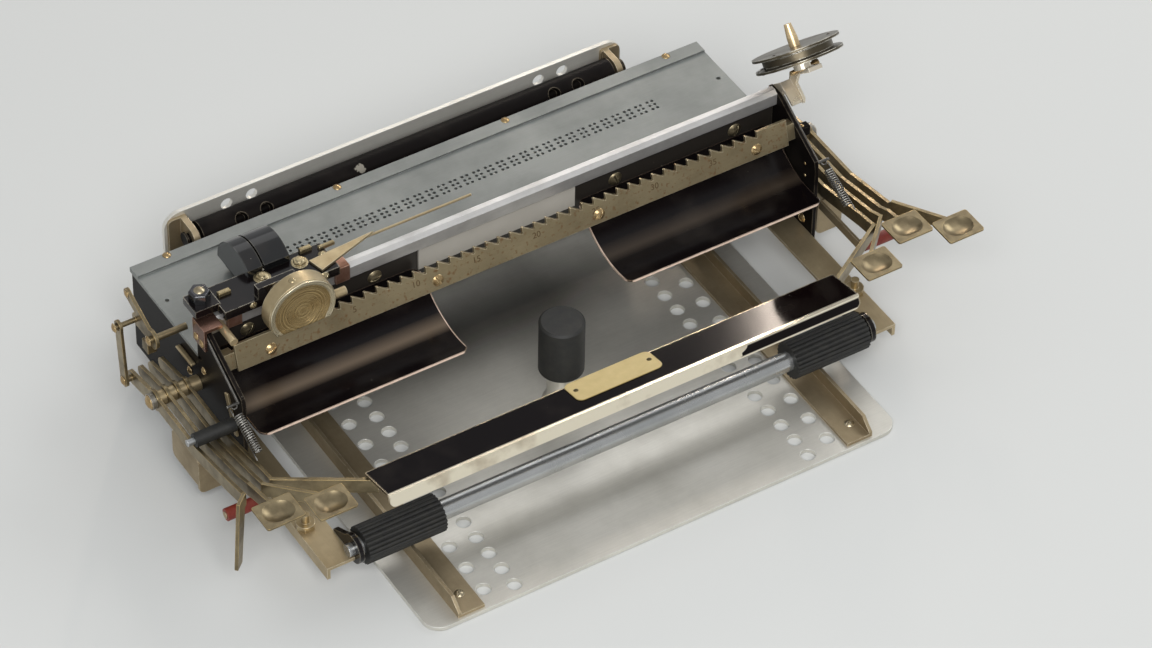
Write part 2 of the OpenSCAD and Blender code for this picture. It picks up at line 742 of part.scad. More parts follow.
// carriage: rides on the rail and reaches over the writing line
head_x = line_x0;
shoe_w = 7;
shoe_xs = [head_x - 26, head_x + 27];
deck_z = rail_top_z + 2;
deck_y0 = rail_face_y - 4.5;
deck_y1 = wall_back_y + 8.5;
deck_t = 4.5;
boss_z = z0 + 88;
barrel_x = head_x - 6;
barrel_z = z0 + 88.5;
barrel_back_y = wall_y - 21.5;
barrel_len = 7;
module carriage_body() color([0.06, 0.06, 0.06]) {
    box([head_x - 32, deck_y0, deck_z], [head_x + 24, deck_y1, deck_z + deck_t]);
    box([head_x - 16, deck_y0, deck_z], [head_x + 3, deck_y1 - 14, boss_z]);
    box([head_x - 43, wall_back_y - 3, deck_z + 1], [head_x - 31, deck_y1, deck_z + 5]);
}
module carriage_shoes() color([0.6, 0.36, 0.27]) {
    for (x = shoe_xs) {
        box([x - shoe_w / 2, rail_face_y - 1.6, rail_top_z + seat_gap],
            [x + shoe_w / 2, wall_back_y + 1.6, deck_z]);
        box([x - shoe_w / 2, rail_face_y - 1.6, rail_foot_z + 1],
            [x + shoe_w / 2, rail_face_y - seat_gap, rail_top_z + seat_gap]);
        box([x - shoe_w / 2, wall_back_y + seat_gap, rail_foot_z + 1],
            [x + shoe_w / 2, wall_back_y + 1.6, rail_top_z + seat_gap]);
    }
}
// hump: a thick curved arm from the carriage over the writing line, slit along its top
hump_c = [cell_y - 22.7, z0 + 73];
hump_r = 16.6;
hump_x0 = head_x - 13.3;
hump_slit = [head_x - 6, head_x - 5.2];
hump_x1 = head_x + 7.2;
slit_depth = 3;
head_half = 4.2;
head_z0 = plate_z + 1.6;
module hump_part(x0, x1, r) {
    side_view(x0, x1) difference() {
        translate(hump_c) circle(r, $fn = 96);
        translate(hump_c - [30, 30]) square([60, 30]);
        translate([deck_y1 - 30, deck_z + deck_t - 30]) square([30, 30]);
        translate([deck_y1 - 33.5, hump_c.y]) square([30, 30]);
    }
}
module hump() color([0.07, 0.07, 0.07]) {
    hump_part(hump_x0, hump_slit[0], hump_r);
    hump_part(hump_slit[0], hump_slit[1], hump_r - slit_depth);
    hump_part(hump_slit[1], hump_x1, hump_r);
    side_view(head_x - head_half, head_x + head_half) polygon([
        hump_c + [2, 0.5], hump_c + [hump_r - 0.8, 0.5], [cell_y + 4.5, head_z0 + 7],
        [cell_y + 4.5, head_z0], [cell_y - 4.5, head_z0], [cell_y - 4.5, head_z0 + 5]]);
    for (a = [-0.5, 0.5], b = [-1, 0, 1])
        translate([head_x + a * dot_pitch, cell_y + b * dot_pitch, plate_z + seat_gap])
            cylinder(h = 2, r = 0.5);
}
module barrel() color([0.66, 0.6, 0.42]) {
    front_view(barrel_back_y - barrel_len, barrel_back_y) difference() {
        translate([barrel_x, barrel_z]) circle(barrel_r);
        translate([barrel_x - 30, barrel_z - 40]) square([60, 40 - 0.6 * barrel_r]);
    }
    front_view(barrel_back_y - 0.5, deck_y0) translate([barrel_x, boss_z - 5]) circle(4.5);
    rod_x(barrel_x, barrel_x + barrel_r + 7, barrel_back_y - 3, barrel_z - 3, 2);
}
// pointer: a blade and a long needle that show the cell
module pointer() color([0.6, 0.52, 0.33]) {
    z = deck_z + deck_t;
    translate([0, 0, z]) linear_extrude(1.2) polygon([
        [head_x + 16, deck_y0 + 1], [head_x + 47, wall_back_y + 2],
        [head_x + 44, wall_back_y + 2], [head_x + 14, deck_y0 + 9]]);
    rod_x(head_x + 24, head_x + 97.5, deck_y1 - 4, deck_z + 1.2, 0.6);
}

// cord pulley on a slanted shaft at the right end
tilt_dir = [0, 0.66, 0.751];
tilt = -atan2(tilt_dir.y, tilt_dir.z);
pulley_c = [side_x + 6.5, wall_y - 4.8, z0 + 95.9];
pulley_t = 6.8;
bracket_top = pulley_t / 2 + 4;
// point of the slanted frame at x = 0, seen from the side
function pulley_plane(y, z) = [pulley_c.y + y * tilt_dir.z + z * tilt_dir.y,
    pulley_c.z - y * tilt_dir.y + z * tilt_dir.z];
module pulley_frame() {
    translate(pulley_c) rotate([tilt, 0, 0]) children();
}
module pulley() color([0.42, 0.39, 0.34]) pulley_frame() rotate_extrude() polygon([
    [shaft_r + run_gap, -pulley_t / 2], [pulley_r, -pulley_t / 2], [pulley_r, -pulley_t / 2 + 1.2],
    [pulley_r - 4, -1.6], [pulley_r - 4, 1.6], [pulley_r, pulley_t / 2 - 1.2],
    [pulley_r, pulley_t / 2], [shaft_r + run_gap, pulley_t / 2]]);
strap_w = 5.4;
strap_high = [wall_y - 1.8, z0 + 79];
strap_low = [wall_y - 11.9, z0 + 74];
cheek_t = 1.4;
module pulley_bracket() color([0.75, 0.72, 0.65]) {
    pulley_frame() {
        rotate_extrude() polygon([[0, -bracket_top], [shaft_r, -bracket_top],
            [shaft_r, pulley_t / 2 + 4], [shaft_r - 0.8, pulley_t / 2 + 10.5],
            [0, pulley_t / 2 + 10.5]]);
        translate([0, 0, -bracket_top]) cylinder(h = bracket_top - pulley_t / 2 - 0.4, r = 4);
        box([side_x + strap_w - pulley_c.x, -7, -bracket_top - 2], [6, 7, -bracket_top]);
    }
    down = [0, -1.5];
    side_view(side_x, side_x + strap_w)
        polygon([strap_low, strap_high, strap_high + down, strap_low + down]);
    side_view(side_x, side_x + cheek_t) polygon([
        [wall_y - 2.6, z0 + 62], [wall_back_y + 2, z0 + 62], [wall_back_y + 2, z0 + 74],
        strap_high, strap_high + [-2.5, -2.4]]);
    side_view(side_x + strap_w, side_x + strap_w + cheek_t) polygon([
        strap_low + [-0.7, 1.2], strap_low + [-0.7, -1.6], strap_high + [0.8, -1.2],
        strap_high + [0.8, 3], pulley_plane(7, -bracket_top - 1),
        pulley_plane(3, -bracket_top - 1), strap_high + [-4.5, 0.5]]);
}
// stud that the crank turns on, out of the left side plate
module crank_stud() color([0.6, 0.58, 0.5]) left()
    rod_x(side_x, crank_x + 2.4, crank_pivot.x, crank_pivot.y, pin_r);

// crank and link at the rear of the outer left key lever
crank_pivot = [pivot_y + 9, pivot_z + 26.4];
link_foot = [pivot_y + 21, pivot_z - 4];
link_head = [link_foot.x + 2.5, crank_pivot.y];
link_x = lever_x(3) + lever_t / 2 + 3.2;
crank_x = lever_x(2);
module crank() color([0.5, 0.46, 0.36]) left() {
    side_view(crank_x - 0.8, crank_x + 0.8) difference() {
        union() {
            link_bar(crank_pivot, link_head, 3.2);
            link_bar(crank_pivot, crank_pivot + [22, 9], 2.6);
            translate(crank_pivot) circle(4.5);
        }
        translate(crank_pivot) circle(pin_r + run_gap);
    }
    rod_x(crank_x, link_x + 2.2, link_head.x, link_head.y, 1.2);
}
module link() color([0.5, 0.46, 0.36]) left() {
    side_view(link_x - 0.7, link_x + 0.7) difference() {
        link_bar(link_foot, link_head, 3);
        translate(link_foot) circle(1.5 + run_gap);
        translate(link_head) circle(2);
    }
}

board();
rail_left();
rail_right();
grip_post();
grip_cap();
roller_bracket_left();
roller_bracket_right();
paper_roller();
top_plate();
matrix_bar();
front_wall();
wall_panel();
carriage_rail();
ratchet_rack();
chute_left();
chute_right();
side_plate_left();
side_plate_right();
arm_left();
arm_right();
lugs_left();
lugs_right();
lever_shaft();
rear_tie();
spacers();
stop_post_left();
stop_post_right();
red_sleeves();
guard_left();
guard_right();
rest_pin();
rest_sleeve();
spring_wires();
rail_stop();
stop_screws();
pulley_bracket();
crank_stud();
front_rod();
roll_left();
roll_right();
rear_roller();
key_l1();
key_l2();
key_l3();
key_r1();
key_r2();
key_r3();
space_bar();
space_lever_left();
space_lever_right();
space_spring_left();
space_spring_right();
carriage_body();
hump();
barrel();
carriage_shoes();
pointer();
pulley();
link();
crank();
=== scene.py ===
import math
import bpy
from mathutils import Matrix, Vector


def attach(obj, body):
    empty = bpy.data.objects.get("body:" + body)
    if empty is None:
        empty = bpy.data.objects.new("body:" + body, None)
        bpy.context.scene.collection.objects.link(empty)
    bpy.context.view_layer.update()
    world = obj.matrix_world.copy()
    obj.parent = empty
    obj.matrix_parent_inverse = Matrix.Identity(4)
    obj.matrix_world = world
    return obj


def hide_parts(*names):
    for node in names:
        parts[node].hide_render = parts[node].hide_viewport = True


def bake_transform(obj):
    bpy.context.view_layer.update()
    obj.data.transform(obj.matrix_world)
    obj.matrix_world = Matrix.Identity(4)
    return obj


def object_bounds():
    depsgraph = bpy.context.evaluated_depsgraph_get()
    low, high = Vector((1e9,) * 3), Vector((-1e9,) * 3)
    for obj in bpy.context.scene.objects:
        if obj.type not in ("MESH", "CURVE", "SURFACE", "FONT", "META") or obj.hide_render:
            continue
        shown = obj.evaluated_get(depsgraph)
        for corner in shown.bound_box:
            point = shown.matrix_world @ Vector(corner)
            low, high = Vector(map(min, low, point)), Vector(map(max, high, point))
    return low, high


# Braillewriter: a writing machine that rolls over a perforated board.
# Metres; +X along the writing line, +Y away from the operator, +Z up.
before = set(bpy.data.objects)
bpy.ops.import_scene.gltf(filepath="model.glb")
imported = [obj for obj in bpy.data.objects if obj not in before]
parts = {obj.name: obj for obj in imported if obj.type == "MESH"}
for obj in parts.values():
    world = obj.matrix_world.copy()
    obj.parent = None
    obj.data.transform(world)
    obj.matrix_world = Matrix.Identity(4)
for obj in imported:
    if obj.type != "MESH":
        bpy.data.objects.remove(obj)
cad_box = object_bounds()
bpy.ops.object.select_all(action="DESELECT")
scene = bpy.context.scene
UP, FRONT, LEFT, RIGHT = (0, 0, 1), (0, -1, 0), (-1, 0, 0), (1, 0, 0)


# ---------------------------------------------------------------- board
# The board is rolled aluminium sheet, punched and bent up at the rear. The mill finish is satin, with
# fine lines along the rolling direction, handling marks and duller patches of oxide.
def colour(hex_text):
    values = [int(hex_text[i:i + 2], 16) / 255 for i in (1, 3, 5)]
    return tuple(v / 12.92 if v <= 0.04045 else ((v + 0.055) / 1.055) ** 2.4 for v in values) + (1,)


def add(mat, kind, links=(), **settings):
    """A node of that kind: settings are attributes, or sockets where they are named in_0, in_1, and
    links are (output of a node, input of this one)."""
    made = mat.node_tree.nodes.new("ShaderNode" + kind)
    for key, value in settings.items():
        if key.startswith("in_"):
            made.inputs[int(key[3:])].default_value = value
        else:
            setattr(made, key, value)
    for source, target in links:
        mat.node_tree.links.new(source, made.inputs[target])
    return made


def shader_input(mat, name):
    return mat.node_tree.nodes["Principled BSDF"].inputs[name]


def feed(mat, name, source):
    mat.node_tree.links.new(source, shader_input(mat, name))


def new_material(name, base, metallic, roughness):
    mat = bpy.data.materials.new(name)
    mat.use_nodes = True
    shader_input(mat, "Base Color").default_value = colour(base)
    shader_input(mat, "Metallic").default_value = metallic
    shader_input(mat, "Roughness").default_value = roughness
    return mat


def place(mat):
    """The machine's own coordinates, since every piece has its origin at the machine's."""
    return add(mat, "TexCoord").outputs["Object"]


def noise(mat, scale, detail=2.0, roughness=0.5, at=None, **settings):
    made = add(mat, "TexNoise", [(at or place(mat), "Vector")], **settings)
    made.inputs["Scale"].default_value = scale
    made.inputs["Detail"].default_value = detail
    made.inputs["Roughness"].default_value = roughness
    return made.outputs["Fac"]


def spread(mat, value, low, high, to_low=0.0, to_high=1.0, **settings):
    """Spreads a value from low..high over to_low..to_high, and holds it beyond them."""
    return add(mat, "MapRange", [(value, "Value")], in_1=low, in_2=high, in_3=to_low, in_4=to_high,
               **settings).outputs[0]


def maths(mat, operation, first, second):
    return add(mat, "Math", [(first, 0), (second, 1)], operation=operation).outputs[0]


def line_through(mat, value, slope, start_at):
    """slope times the value, plus start_at."""
    return add(mat, "Math", [(value, 0)], operation="MULTIPLY_ADD", in_1=slope, in_2=start_at).outputs[0]


def layered(mat, factor, under, over, blend_type="MIX"):
    """One colour over another, each given as a socket or a value."""
    made = add(mat, "MixRGB", [(factor, 0)], blend_type=blend_type)
    for number, tone in ((1, under), (2, over)):
        if isinstance(tone, tuple):
            made.inputs[number].default_value = tone
        else:
            mat.node_tree.links.new(tone, made.inputs[number])
    return made.outputs[0]


def raise_surface(mat, height, strength, distance, normal=()):
    made = add(mat, "Bump", [(height, "Height"), *normal])
    made.inputs["Strength"].default_value = strength
    made.inputs["Distance"].default_value = distance
    feed(mat, "Normal", made.outputs[0])


def wear(mat, radius, start_at, grain, seed=0.0):
    """0 inside a face and 1 at its rubbed edges: there the rounded normal leaves the flat one, and a
    noise of that grain breaks the line up. The flat of a face stays untouched."""
    bevel = add(mat, "Bevel", samples=6, in_0=radius)
    flat = add(mat, "NewGeometry")
    dot = add(mat, "VectorMath", [(bevel.outputs[0], 0), (flat.outputs["Normal"], 1)],
              operation="DOT_PRODUCT")
    turned_away = add(mat, "Math", [(dot.outputs["Value"], 1)], operation="SUBTRACT", in_0=1.0)
    grains = noise(mat, 1 / grain, 5, noise_dimensions="4D", in_1=seed)
    rubbed = maths(mat, "MULTIPLY", turned_away.outputs[0], spread(mat, grains, 0.38, 0.62, 0.25, 1.6))
    return spread(mat, rubbed, start_at, start_at * 2.2)


def brushed(name, base, dark, roughness, axis, patch=0.03, edge="#e2e0da", rubbed=0.09, metal=0.85):
    """Worked metal: fine lines along one axis, cloudy oxide of patch size, and bright rubbed edges."""
    mat = new_material(name, base, metal, roughness)
    line_width, stretch = 0.0006, [1.0, 1.0, 1.0]
    stretch["xyz".index(axis)] = 0.04
    drawn_out = add(mat, "Mapping", [(place(mat), 0)], in_3=stretch)
    lines = noise(mat, 1 / line_width, 3, at=drawn_out.outputs[0])
    oxide = spread(mat, noise(mat, 1 / patch, 7, 0.62), 0.38, 0.75)
    tone = layered(mat, oxide, colour(base), colour(dark))
    lined = layered(mat, lines, tone, (0.86, 0.86, 0.86, 1), "MULTIPLY")
    feed(mat, "Base Color", layered(mat, wear(mat, 0.0007, rubbed, 0.004), lined, colour(edge)))
    feed(mat, "Roughness", line_through(mat, oxide, 0.13, roughness))
    soft = add(mat, "Bevel", samples=4, in_0=0.0004)
    raise_surface(mat, lines, 0.12, 0.0002, [(soft.outputs[0], "Normal")])
    return mat


def along(mat, axis, start_at, full_at):
    """0 before one place and 1 past the other, along an axis of the machine."""
    axes = add(mat, "SeparateXYZ", [(place(mat), 0)])
    return spread(mat, axes.outputs[axis], start_at, full_at)


def tint(mat, factor, hex_text):
    """Lays a second colour over a material where the factor is 1."""
    base = shader_input(mat, "Base Color").links[0].from_socket
    feed(mat, "Base Color", layered(mat, factor, base, colour(hex_text)))


def dress(mat, *nodes):
    for name in nodes:
        for slot in parts[name].material_slots:
            slot.material = mat


sheet_metal = 0.76
sheet = brushed("rolled_aluminium", "#e9e6dd", "#cdcac0", 0.38, "x", patch=0.05, edge="#f2f2ee",
                metal=sheet_metal)
# Painted shade: the board is darkened between the chutes, under the machine, where the machine's shadow falls
# and the board mirrors its dark underside.
under_machine_shade = maths(sheet, "MULTIPLY", along(sheet, "Y", 0.002, 0.032), along(sheet, "Y", 0.09, 0.03))
under_machine_shade = maths(sheet, "MULTIPLY", under_machine_shade, maths(sheet, "MULTIPLY", along(sheet, "X", -0.085, -0.02),
                                              along(sheet, "X", 0.09, 0.03)))
tint(sheet, spread(sheet, under_machine_shade, 0, 1, 0, 0.85, interpolation_type="SMOOTHSTEP"), "#323230")
# The rear wall is duller than the board, which the paper keeps clean.
feed(sheet, "Metallic", line_through(sheet, along(sheet, "Y", 0.108, 0.112), -0.2, sheet_metal))
dress(sheet, "board", "grip_post")

# ---------------------------------------------------------------- rails and arms
# The rails, side arms, guards and levers are steel strip, nickel plated and tarnished to a warm grey
# brown. The plating is rubbed bright at the edges. The levers are a darker copy, painted shade for the dark
# surroundings that their sides mirror, and yellow at their edges.
# Four slotted steel screws hold the rails to the board.
nickel = brushed("tarnished_nickel", "#b3a284", "#8f7f64", 0.42, "y", patch=0.022, edge="#d8ccb2", metal=0.8)
dress(nickel, "rail_left", "rail_right", "guard_left", "guard_right", "stop_post_left", "stop_post_right",
      "roller_bracket_left", "roller_bracket_right")
arm_nickel = brushed("arm_nickel", "#c3b18f", "#a49476", 0.4, "y", patch=0.02, edge="#e4d9c0", metal=0.75)
dress(arm_nickel, "arm_left", "arm_right")
# The levers' darker base is painted shade, standing in for the dark surroundings their sides mirror.
lever_nickel = brushed("lever_nickel", "#948669", "#6a5e49", 0.31, "y", patch=0.008, edge="#c2a977",
                       rubbed=0.07, metal=0.92)
dress(lever_nickel, "key_l1", "key_l2", "key_l3", "key_r1", "key_r2", "key_r3", "space_lever_left",
      "space_lever_right", "link", "crank", "crank_stud")


def only(piece):
    bpy.ops.object.select_all(action="DESELECT")
    piece.select_set(True)
    bpy.context.view_layer.objects.active = piece


def start(kind, **settings):
    """A primitive that stands alone in the selection."""
    bpy.ops.object.select_all(action="DESELECT")
    getattr(bpy.ops.mesh, "primitive_" + kind + "_add")(**settings)
    return bpy.context.object


def pick(piece, test):
    """Edit mode with the faces selected whose centre and normal pass the test."""
    bpy.ops.object.mode_set(mode="OBJECT")
    bpy.context.tool_settings.mesh_select_mode = (False, False, True)
    for item in (*piece.data.vertices, *piece.data.edges):
        item.select = False
    for face in piece.data.polygons:
        face.select = test(face.center, face.normal)
    bpy.ops.object.mode_set(mode="EDIT")


def cut(piece, at, normal):
    """Takes off what lies beyond a plane and closes the cut."""
    pick(piece, lambda centre, facing: True)
    bpy.ops.mesh.bisect(plane_co=at, plane_no=normal, use_fill=True, clear_outer=True)
    bpy.ops.object.mode_set(mode="OBJECT")


def finish_with(piece, kind, **settings):
    made = piece.modifiers.new(kind.lower(), kind)
    for key, value in settings.items():
        setattr(made, key, value)
    bpy.context.view_layer.objects.active = piece
    bpy.ops.object.modifier_apply(modifier=made.name)


def round_edges(piece, width, segments=2):
    finish_with(piece, "BEVEL", width=width, segments=segments, limit_method="ANGLE")


def shade(piece):
    """Smooth shading, except over edges sharper than 34 degrees."""
    only(piece)
    bpy.ops.object.shade_smooth_by_angle(angle=0.6)


def seat(piece, mat, body, at, axis=UP, turn=0.0, size=1.0):
    """Turns an upright piece to its axis, takes it to its place and lets it ride on a body."""
    piece.data.materials.clear()
    piece.data.materials.append(mat)
    aim = Vector(UP).rotation_difference(Vector(axis)).to_matrix().to_4x4()
    piece.data.transform(Matrix.Translation(at) @ aim @ Matrix.Rotation(turn, 4, "Z") @ Matrix.Scale(size, 4)
                         @ piece.matrix_world)
    piece.matrix_world = Matrix.Identity(4)
    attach(piece, body)
    return piece


def again(pattern, name, mat, body, places):
    """Copies of one pattern, each with its own mesh; places are (at, axis, turn, size)."""
    for number, (at, axis, turn, size) in enumerate(places, 1):
        piece = pattern.copy()
        piece.data = pattern.data.copy()
        piece.name = f"{name}_{number}"
        scene.collection.objects.link(piece)
        seat(piece, mat, body, at, axis, turn, size)


def dome(segments, radius, depth):
    """The part of a ball that stands above z = 0, its centre at that depth."""
    head = start("uv_sphere", segments=segments, ring_count=segments // 2, radius=radius,
                 location=(0, 0, -depth))
    bpy.ops.object.transform_apply(location=True)
    cut(head, (0, 0, 0), (0, 0, -1))
    return head


# The pattern of the screws: a domed, slotted head of radius 1, standing on z = 0.
slotted = dome(28, 1.25, 0.75)
round_edges(slotted, 0.06)
slot_cutter = start("cube", size=1, location=(0, 0, 0.45))
slot_cutter.scale = (2.6, 0.3, 0.5)
finish_with(slotted, "BOOLEAN", object=slot_cutter, operation="DIFFERENCE", solver="EXACT")
bpy.data.objects.remove(slot_cutter)
shade(slotted)
screw_steel = brushed("screw_steel", "#b3a78d", "#7d715a", 0.26, "x", patch=0.004, edge="#e8dcc0")
again(slotted, "rail_screw", screw_steel, "base", [
    ((-0.0985, -0.1051, 0.0036), UP, 0.9, 0.0024), ((0.1001, -0.1058, 0.0036), UP, 0.3, 0.0024),
    ((-0.0985, 0.104, 0.0036), UP, 1.5, 0.0024), ((0.0985, 0.104, 0.0036), UP, 2.1, 0.0024)])

# ---------------------------------------------------------------- rollers
# Two ribbed rubber rolls turn on a drawn aluminium rod, and a plain steel roller follows behind.
# The rubber is charcoal, dull and slightly dusty in its grooves. Both rods turn in the frame.
rod = brushed("drawn_rod", "#c3c4c3", "#a0a2a2", 0.22, "x", patch=0.03, edge="#f0f0f0")
dress(rod, "front_rod", "rest_pin")
steel = brushed("turned_steel", "#a09c92", "#77726a", 0.3, "x", patch=0.015, edge="#d8d4ca")
dress(steel, "rear_roller", "rear_tie", "lever_shaft", "matrix_bar")


def soft_rubber(name, base, dust, roughness):
    mat = new_material(name, base, 0.0, roughness)
    dusty = spread(mat, noise(mat, 260, 8, 0.7), 0.4, 0.75)
    feed(mat, "Base Color", layered(mat, dusty, colour(base), colour(dust)))
    raise_surface(mat, noise(mat, 2600), 0.35, 0.0001)
    return mat


dress(soft_rubber("charcoal_rubber", "#151514", "#272621", 0.6), "roll_left", "roll_right", "rest_sleeve",
      "grip_cap")
dress(soft_rubber("red_rubber", "#741d12", "#8c3c2a", 0.5), "red_sleeves")


# ---------------------------------------------------------------- enamelled pieces
# The walls, side plates, chutes, lugs, paper roller and carriage are sheet steel or casting under
# stoved black enamel: a deep gloss, dust in fine specks, and chips down to grey metal at the edges.
def enamel(name, base, roughness, rubbed=0.06, edge="#a39d90", width=0.0009, shine=0.25):
    mat = new_material(name, base, 0.0, roughness)
    shader_input(mat, "Specular IOR Level").default_value = shine
    cloud = noise(mat, 38, 8)
    haze = spread(mat, cloud, 0.5, 0.95)
    tone = layered(mat, haze, colour(base), colour("#2b2622"))
    cells = add(mat, "TexVoronoi", [(place(mat), "Vector")])
    cells.inputs["Scale"].default_value = 560
    specks = maths(mat, "MULTIPLY", spread(mat, cells.outputs["Distance"], 0.13, 0.07),
                   spread(mat, noise(mat, 230), 0.68, 0.74, 0, 0.8))
    dusty = layered(mat, specks, tone, colour("#a39d90"))
    rub = wear(mat, width, rubbed, 0.003, 3.0)
    feed(mat, "Base Color", layered(mat, rub, dusty, colour(edge)))
    feed(mat, "Metallic", rub)
    feed(mat, "Roughness", line_through(mat, haze, 0.15, roughness))
    raise_surface(mat, cloud, 0.05, 0.0005)
    return mat


black = enamel("stoved_black_enamel", "#0c0809", 0.17)
dress(black, "lugs_left", "lugs_right", "carriage_body")
# Painted light: the front wall's enamel is lightened to a dark grey brown, to lift the shadow the wall stands
# in.
wall_black = enamel("lightened_wall_enamel", "#2b2723", 0.3, shine=0.5)
dress(wall_black, "front_wall")
# Where hands don't reach, the enamel has gone dull: on the side plates and the paper roller.
dull = enamel("dulled_enamel", "#100d0c", 0.4, edge="#6f6658", shine=0.06)
# The roller has lost a chip of enamel, down to the grey priming, ragged by a noise.
from_chip = add(dull, "VectorMath", [(place(dull), 0)], operation="DISTANCE", in_1=(-0.0265, 0.102, 0.0511))
ragged = add(dull, "Math", [(noise(dull, 420), 0), (from_chip.outputs["Value"], 2)],
             operation="MULTIPLY_ADD", in_1=0.0042)
tint(dull, spread(dull, ragged.outputs[0], 0.0046, 0.0042), "#837e74")
dress(dull, "side_plate_left", "side_plate_right", "paper_roller")
# A painted reflection: a brown band of sheen along the chutes, stronger on the left one.
chute_black = enamel("chute_enamel", "#0c0809", 0.17, edge="#dcc0a8", rubbed=0.04)
painted_sheen_band = maths(chute_black, "MULTIPLY", along(chute_black, "Y", -0.0022, 0.0018),
             along(chute_black, "Y", 0.0085, 0.0026))
left_more = spread(chute_black, along(chute_black, "X", 0.01, -0.01), 0, 1, 0.22, 0.75)
tint(chute_black, maths(chute_black, "MULTIPLY", painted_sheen_band, left_more), "#6a5c4d")
# Their free edges are worn to bare, bright metal.
inner_edge = maths(chute_black, "MULTIPLY", along(chute_black, "X", -0.0412, -0.0409),
                   along(chute_black, "X", 0.0412, 0.0409))
front_edge = along(chute_black, "Y", -0.0168, -0.0171)
tint(chute_black, maths(chute_black, "MAXIMUM", inner_edge, front_edge), "#d8c0ae")
dress(chute_black, "chute_left", "chute_right")
# The arm's left cheek is ground and dull grey; its crown is glossy again.
arm_black = enamel("arm_enamel", "#121213", 0.11, edge="#77746c", shine=0.6)
tint(arm_black, along(arm_black, "X", -0.1197, -0.1200), "#4d4e4e")
dress(arm_black, "hump")
# Old brass screws hold the plates to the frame's cross bars, outside and inside.
plate_x = 0.147
brass_screw = brushed("brass_screw", "#b89e74", "#8a7048", 0.22, "x", patch=0.004, edge="#f0d9ab")
again(slotted, "plate_screw", brass_screw, "frame", [
    ((-plate_x, 0.0409, 0.0371), LEFT, 0.5, 0.0022), ((-plate_x, 0.0274, 0.0482), LEFT, 1.2, 0.002),
    ((0.145, 0.0012, 0.0205), LEFT, 0.5, 0.0027), ((plate_x, 0.0409, 0.0371), RIGHT, 0.5, 0.0022)])

# ---------------------------------------------------------------- writing line and carriage rail
# The top plate is nickelled sheet, pale with a blue grey cast. The carriage rail on the front wall is
# polished bright by the carriage, and the ratchet bar is plated like the levers, with specks of rust.
pale = brushed("pale_nickel", "#8d908d", "#7e817e", 0.48, "x", patch=0.035, edge="#c9ccc8", rubbed=0.25,
               metal=0.75)
dress(pale, "top_plate")
bright = brushed("polished_rail", "#dddbd8", "#bebcb9", 0.28, "x", patch=0.02, edge="#fafafa", metal=0.7)
# Its pin at the left end is tarnished.
pin_end = maths(bright, "MULTIPLY", along(bright, "X", -0.130, -0.131), along(bright, "Y", 0.0256, 0.0254))
tint(bright, pin_end, "#c9b58f")
dress(bright, "carriage_rail")
rack_metal = brushed("ratchet_nickel", "#a09274", "#84765b", 0.38, "x", patch=0.025, edge="#cfc4a8",
                     metal=0.8)
tint(rack_metal, spread(rack_metal, noise(rack_metal, 520, 6), 0.57, 0.7, 0, 0.75), "#7d5836")
dress(rack_metal, "ratchet_rack")


def mottled(name, light, dark, metallic, roughness, scale, detail=2):
    """A plain material whose tone wanders between two colours."""
    mat = new_material(name, light, metallic, roughness)
    feed(mat, "Base Color", layered(mat, noise(mat, scale, detail), colour(light), colour(dark)))
    return mat


# The light panel between the wall's screws is a celluloid plate, matt ivory grey.
dress(mottled("ivory_panel", "#bcb8b0", "#a6a198", 0.0, 0.4, 60, 8), "wall_panel")

# The bar is held to the wall by domed brass screws; the wall itself by brown slotted screws, and the
# top plate is riveted to the frame behind the cells.
lean = math.radians(14.7)


def on_bar(x, height):
    """A place on the leaning front face of the ratchet bar, height up from its foot."""
    return (x, 0.0078 + height * math.sin(lean), 0.061 + height * math.cos(lean))


bar_face = (0, -math.cos(lean), math.sin(lean))
again(slotted, "ratchet_screw", brass_screw, "frame", [
    (on_bar(x, 0.0045), bar_face, turn, 0.0029)
    for x, turn in ((-0.1236, 0.4), (-0.0411, 2.0), (0.0411, 1.1), (0.1236, 2.6))])
dark_screw = brushed("brown_screw", "#8f8369", "#574e3c", 0.3, "x", patch=0.004, edge="#c9bb98")
again(slotted, "wall_screw", dark_screw, "frame", [
    ((x, 0.0285, 0.0615), FRONT, turn, 0.0036)
    for x, turn in ((-0.1246, 0.9), (-0.0616, 0.2), (0.0616, 1.9), (0.1246, 1.2))])
# The pattern of the rivets and pins: a plain low dome of radius 1.
rivet = dome(24, 1.3, 0.85)
rivet.data.shade_smooth()
again(rivet, "plate_rivet", brass_screw, "frame", [
    ((x, 0.093, 0.055), UP, 0, 0.0021) for x in (-0.1294, -0.0436, 0.0436, 0.1294)])

# Every fifth cell is numbered on the ratchet bar. The figures are stamped and filled with brown dirt.
stamp = mottled("stamped_dirt", "#43301d", "#6d5636", 0.3, 0.7, 1500)
cell_pitch, first_cell_x = 0.0061, -0.1067
for cell in range(5, 36, 5):
    bpy.ops.object.select_all(action="DESELECT")
    bpy.ops.object.text_add()
    figure = bpy.context.object
    figure.data.body = str(cell)
    figure.data.size = 0.0042
    figure.data.extrude = 0.00003
    figure.data.align_x = "CENTER"
    bpy.ops.object.convert(target="MESH")
    figure = bpy.context.object
    figure.name = f"cell_number_{cell}"
    seat(figure, stamp, "frame", on_bar(first_cell_x + (cell - 1) * cell_pitch, 0.0056), bar_face)

